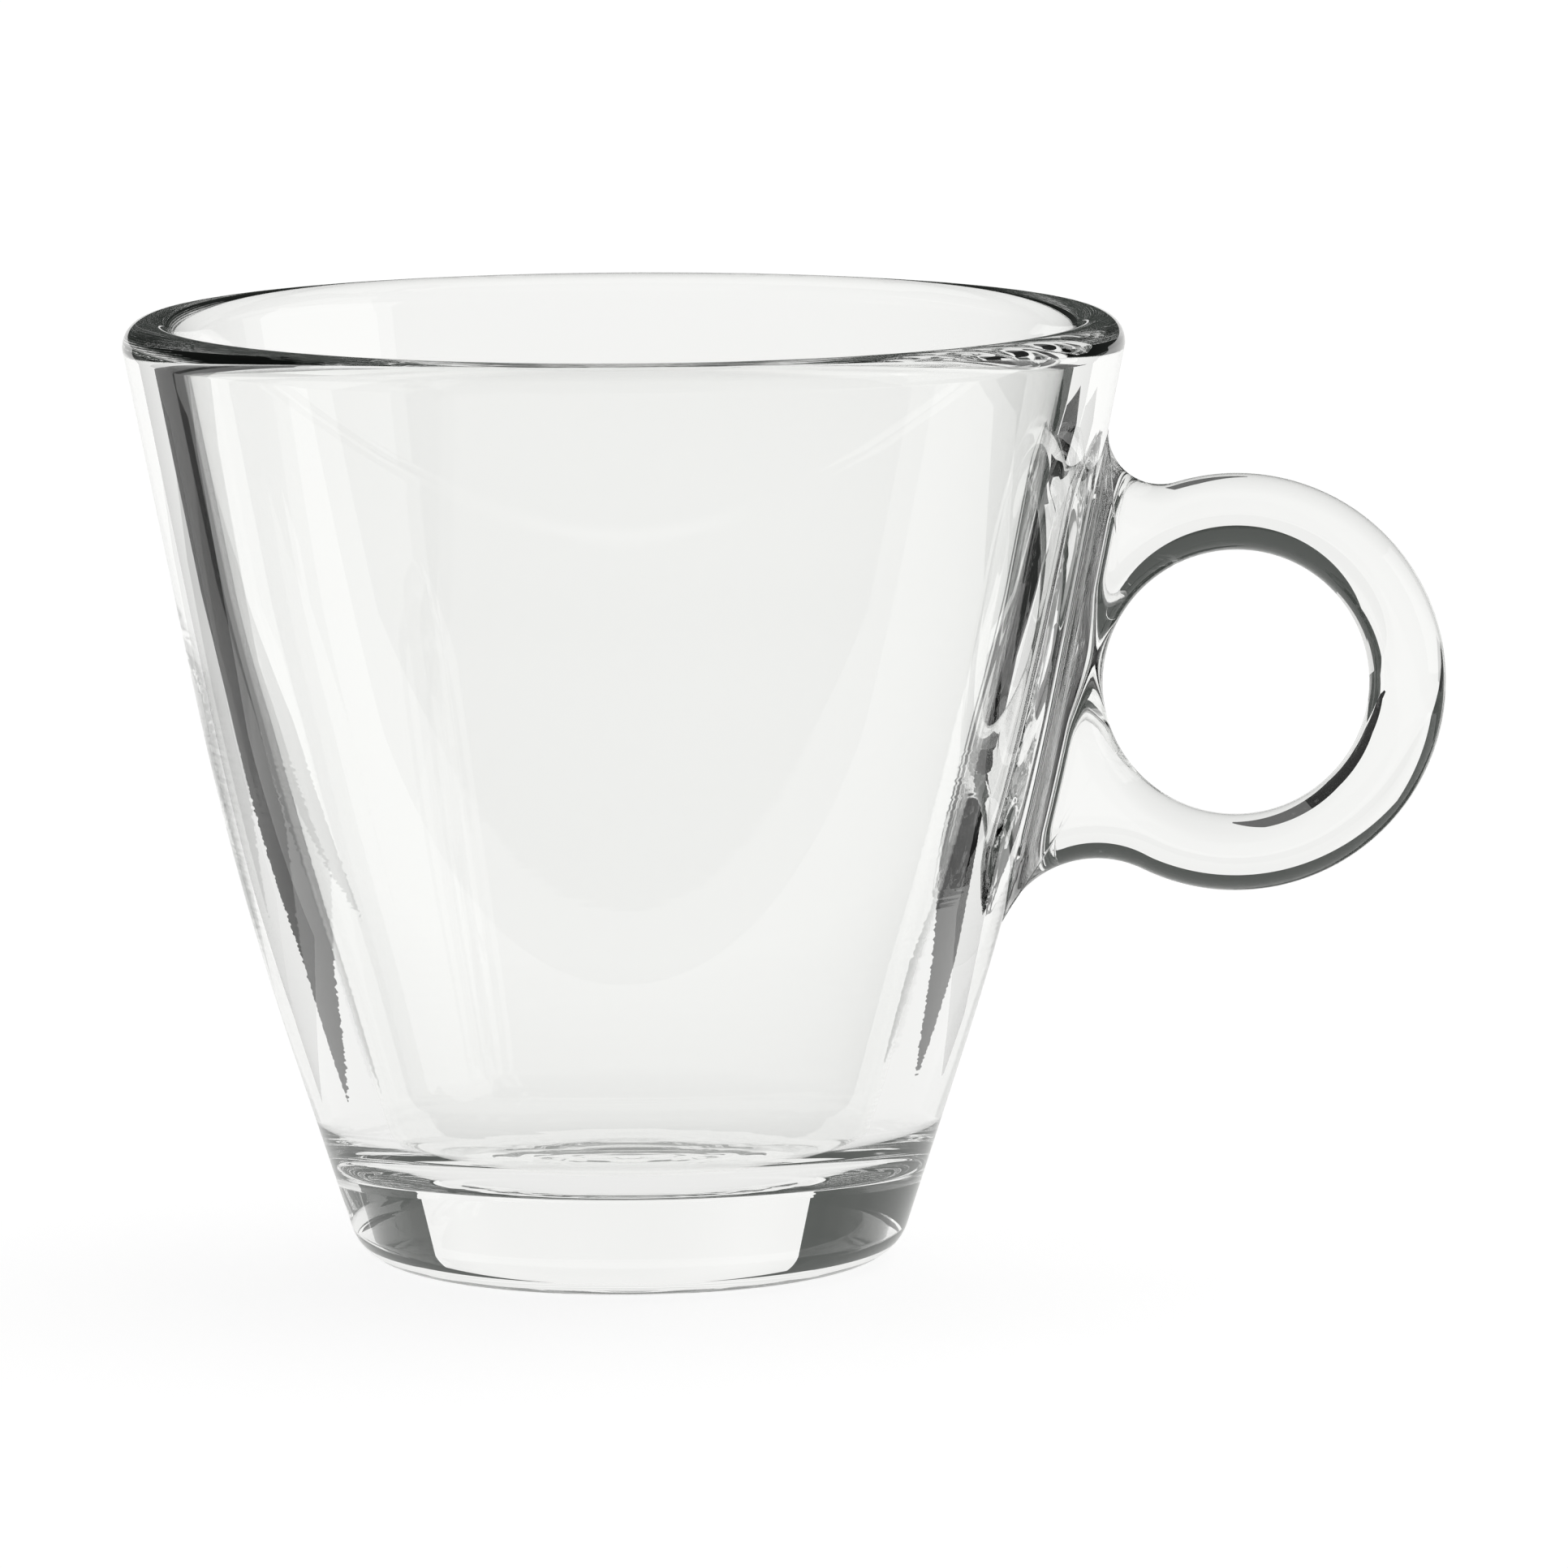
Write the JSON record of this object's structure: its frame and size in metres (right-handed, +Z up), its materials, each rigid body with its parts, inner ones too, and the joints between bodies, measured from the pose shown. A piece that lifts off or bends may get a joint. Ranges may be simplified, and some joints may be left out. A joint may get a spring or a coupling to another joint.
{
  "type": "cortado glass",
  "caption": "Small clear glass cup with a conical bowl, a rounded rim, a thick solid base and a one-finger ring handle, for short milk coffees.",
  "frame": {"origin": "on the bowl's axis, in the plane of the table that the foot stands on", "axes": "+Z up along the bowl's axis, +X from the axis towards the ring handle, +Y completes the right hand; the handle lies in the XZ plane"},
  "size_m": [0.103, 0.078, 0.074],
  "materials": {
    "clear_glass": "clear fire-polished glass, faintly grey-green in thick places"
  },
  "bodies": {
    "root": {"bowl": "clear_glass", "ring_handle": "clear_glass"}
  },
  "joints": []
}
